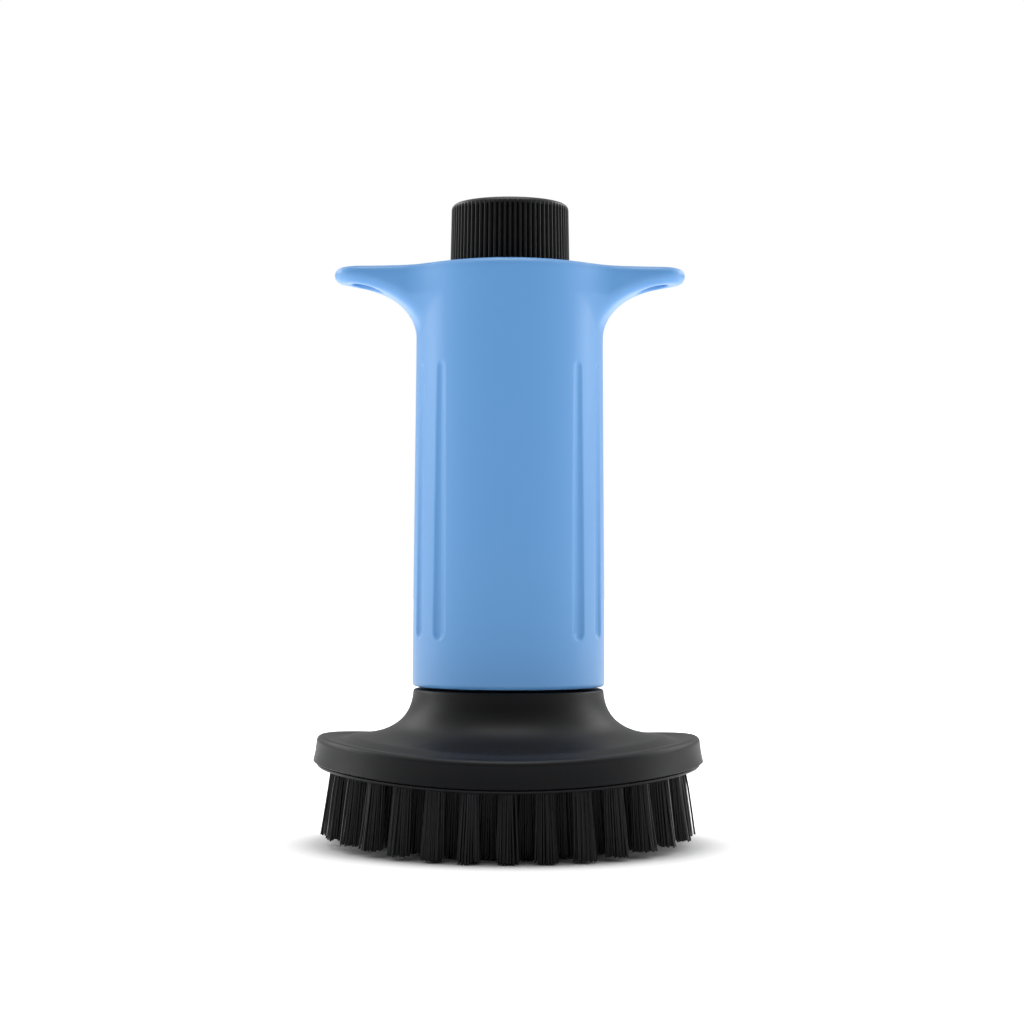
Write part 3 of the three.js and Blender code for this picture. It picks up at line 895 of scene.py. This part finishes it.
@dataclass
class Knob:
    """The ribbed push knob."""

    top: float = 124.8
    bottom: float = 107.3
    low_radius: float = 11.75
    high_radius: float = 11.42
    rib_depth: float = 0.55
    rib_sharpness: float = 1.7
    rib_count: int = 72
    rib_facets: int = 8
    rib_top: float = 124.05
    top_round: float = 1.2
    pocket_radius: float = 9.2
    ceiling: float = 122.6

    def outline(self) -> Profile:
        """Return the knob's closed outline, without ribs."""
        centre = (self.high_radius - self.top_round, self.top - self.top_round)
        shoulder = arc(centre, self.top_round, 0, 90, 8)
        crown = [(radius, self.top) for radius in (10.2, 9.2, 6.0, 3.0)]
        wall = [
            (self.low_radius + (self.high_radius - self.low_radius) * step / 12,
             self.bottom + 0.2 + (self.rib_top - 0.4 - self.bottom - 0.2) * step / 12)
            for step in range(13)
        ]
        return [
            (self.pocket_radius, self.bottom),
            (self.low_radius - 0.3, self.bottom),
            *wall,
            *shoulder,
            *crown,
            (0.0, self.top),
        ]

    def rib(self, point: Vector) -> Vector:
        """Press the valleys between ribs into the wall."""
        radius = math.hypot(point.x, point.y)
        if radius < self.high_radius - 1.6 or point.z < self.bottom + 0.1:
            return point.copy()
        angle = math.atan2(point.y, point.x)
        wave = 0.5 - 0.5 * math.cos(angle * self.rib_count)
        valley = wave ** self.rib_sharpness
        fade = 1 - smoothstep(self.rib_top - 0.35, self.rib_top, point.z)
        share = 1 - self.rib_depth * valley * fade / radius
        return Vector((point.x * share, point.y * share, point.z))

    def build(self, shop: Workshop) -> None:
        """Build the knob."""
        inside = [(0.0, self.ceiling), (self.pocket_radius - 0.5, self.ceiling),
                  (self.pocket_radius, self.ceiling - 0.5)]
        profile = list(reversed(self.outline())) + list(reversed(inside))
        bm = spun(profile[:-1] + [(0.0, self.ceiling)], self.rib_count * self.rib_facets, closed=False)
        reshape(bm, self.rib)
        shop.place(bm, Piece("knob_fine", "push_button", Finish.BLACK_KNOB, ("button_cap",), 50.0))


# ---------------------------------------------------------------- inner parts


class InnerWorks:
    """The CAD pieces that stay as they are and only get a finish."""

    finishes = {
        "valve_seat": Finish.VALVE_PLASTIC,
        "valve_stem": Finish.VALVE_PLASTIC,
        "valve_washer": Finish.RUBBER_SEAL,
        "valve_spring": Finish.STEEL,
        "valve_clip": Finish.STEEL,
        "handle_gasket": Finish.RUBBER_SEAL,
        "reservoir_liner": Finish.CLEAR_BOTTLE,
        "collar_gasket": Finish.RUBBER_SEAL,
        "fill_collar": Finish.BLACK_KNOB,
        "rod_seal": Finish.RUBBER_SEAL,
        "push_rod": Finish.STEEL,
        "rod_clip": Finish.STEEL,
        "button_spring": Finish.STEEL,
    }

    def dress(self, paints: Paintbox) -> None:
        """Give each carried-over node its finish."""
        for name, finish in self.finishes.items():
            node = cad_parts[name]
            node.data.materials.clear()
            node.data.materials.append(paints.material(finish))
            log.info("%s: finish %s", name, finish.value)


# ---------------------------------------------------------------- studio


@dataclass
class Studio:
    """Pale floor, soft light and the camera."""

    distance: float = 452.7
    eye_height: float = 51.4
    lens: float = 81.4
    shift_x: float = 0.0031
    shift_y: float = 0.067
    sensor: float = 36.0
    roll_degrees: float = -0.2
    light_aim: tuple[float, float, float] = (0.0, 0.0, 0.05)
    side_place: tuple[float, float, float] = (0.62, 0.34, 0.36)
    side_along: tuple[float, float, float] = (-0.57, 0.58, 0.43)
    side_size: tuple[float, float] = (0.30, 0.84)
    side_watts: float = 2.6
    top_place: tuple[float, float, float] = (0.0, 0.0, 0.95)
    top_size: tuple[float, float] = (0.55, 0.45)
    top_watts: float = 3.6
    dim: float = 0.15
    bright: float = 0.94
    low: float = 0.64
    above: float = 0.95
    above_from: float = 0.45
    dim_to: float = -0.95
    bright_from: float = -0.15
    # Painted light on the floor: the glow is nil under the brush, which keeps a painted shadow there, and
    # reaches full white at this reach in mm; stops are (share of reach, glow).
    painted_glow_reach: float = 320.0
    painted_glow_stops: tuple[tuple[float, float], ...] = ((0.117, 0.0), (0.165, 0.55), (1.0, 1.0))

    def camera(self) -> None:
        """Place the level camera in front of the brush."""
        data = bpy.data.cameras.new("camera")
        data.lens = self.lens
        data.sensor_width = self.sensor
        data.shift_x = self.shift_x
        data.shift_y = self.shift_y
        data.clip_start = 0.01
        made = bpy.data.objects.new("camera", data)
        made.location = (0.0, -self.distance * MM, self.eye_height * MM)
        made.rotation_euler = (math.pi / 2, math.radians(self.roll_degrees), 0.0)
        bpy.context.scene.collection.objects.link(made)
        bpy.context.scene.camera = made

    def floor(self) -> None:
        """Lay a pale floor with painted light: its emission is nil under the brush, where it stays dark as a
        painted contact shadow, and glows up to white farther out.
        """
        bm = bmesh.new()
        bmesh.ops.create_grid(bm, x_segments=2, y_segments=2, size=6.0)
        mesh = bpy.data.meshes.new("floor")
        bm.to_mesh(mesh)
        bm.free()
        material, board = new_material("pale_floor")
        wash = board.noise(3.0, 2.0)
        away = board.node("ShaderNodeVectorMath", {"operation": "LENGTH"}, {0: board.coordinates()}, "Value")
        # Painted light: emission rises with distance from the brush, so the floor glows white far off and
        # stays unlit under the brush as painted shadow.
        painted_glow = board.node("ShaderNodeValToRGB", {"stops": self.painted_glow_stops},
                          {0: away * (1 / (self.painted_glow_reach * MM))})
        inputs = {
            "Base Color": board.blend(wash, (0.90, 0.90, 0.90), (0.92, 0.92, 0.92)),
            "Roughness": 0.6,
            "Specular IOR Level": 0.1,
            "Emission Color": painted_glow,
            "Emission Strength": 0.8,
        }
        board.finish(board.node("ShaderNodeBsdfPrincipled", {}, inputs))
        mesh.materials.append(material)
        made = bpy.data.objects.new("floor", mesh)
        bpy.context.scene.collection.objects.link(made)

    def softbox(self, name: str, place: tuple[float, float, float], along: tuple[float, float, float],
                size: tuple[float, float], watts: float) -> None:
        """Hang one rectangular light that faces the brush.

        Args:
            name: Its name.
            place: Where it hangs, in metres.
            along: The direction that its height runs in.
            size: Its width and height, in metres.
            watts: Its power.
        """
        data = bpy.data.lights.new(name, "AREA")
        data.shape = "RECTANGLE"
        data.size, data.size_y = size
        data.energy = watts
        made = bpy.data.objects.new(name, data)
        back = (Vector(place) - Vector(self.light_aim)).normalized()
        side = Vector(along).cross(back).normalized()
        turn = Matrix((side, back.cross(side), back)).transposed()
        made.matrix_world = Matrix.Translation(place) @ turn.to_4x4()
        bpy.context.scene.collection.objects.link(made)

    def world(self) -> None:
        """Light the room softly, brighter behind the brush and above it than in front of it."""
        world = bpy.data.worlds.new("studio")
        world.use_nodes = True
        bpy.context.scene.world = world
        board = Board(world.node_tree)
        place = board.node("ShaderNodeTexCoord", output="Generated")
        depth = board.node("ShaderNodeSeparateXYZ", {}, {0: place}, output="Y")
        behind = board.node("ShaderNodeMapRange", {"interpolation_type": "SMOOTHSTEP"},
                            {0: depth, 1: self.dim_to, 2: self.bright_from, 3: self.dim, 4: self.bright})
        height = board.node("ShaderNodeSeparateXYZ", {}, {0: place}, output="Z")
        above = board.node("ShaderNodeMapRange", {"interpolation_type": "SMOOTHSTEP"},
                           {0: height, 1: self.above_from, 2: 1.0, 3: self.low, 4: self.above})
        strength = behind * above
        sky = board.node("ShaderNodeBackground", {}, {"Color": (1.0, 1.0, 1.0, 1.0), "Strength": strength})
        seen = board.node("ShaderNodeBackground", {}, {"Color": (1.0, 1.0, 1.0, 1.0), "Strength": 1.0})
        ray = board.node("ShaderNodeLightPath", output="Is Camera Ray")
        mixed = board.node("ShaderNodeMixShader", {}, {0: ray, 1: sky, 2: seen})
        board.node("ShaderNodeOutputWorld", {}, {"Surface": mixed})

    def build(self) -> None:
        """Set up the whole studio."""
        bpy.context.scene.view_settings.view_transform = "Standard"
        self.camera()
        self.floor()
        self.world()
        for side in (-1, 1):
            name = "left_box" if side < 0 else "right_box"
            across, back, up = self.side_place
            lean, *rest = self.side_along
            place = (side * across, back, up)
            self.softbox(name, place, (side * lean, *rest), self.side_size, self.side_watts)
        self.softbox("top_box", self.top_place, (0.0, 1.0, 0.0), self.top_size, self.top_watts)


def main() -> None:
    """Build the brush and its studio, piece by piece."""
    logging.basicConfig(level=logging.INFO, format="%(name)s %(message)s")
    paints = Paintbox()
    shop = Workshop(paints)
    Studio().build()
    head = Head()
    Handle().build(shop)
    head.build(shop)
    TuftField(head.rocker).build(shop)
    Knob().build(shop)
    InnerWorks().dress(paints)


if __name__ == "__main__":
    main()
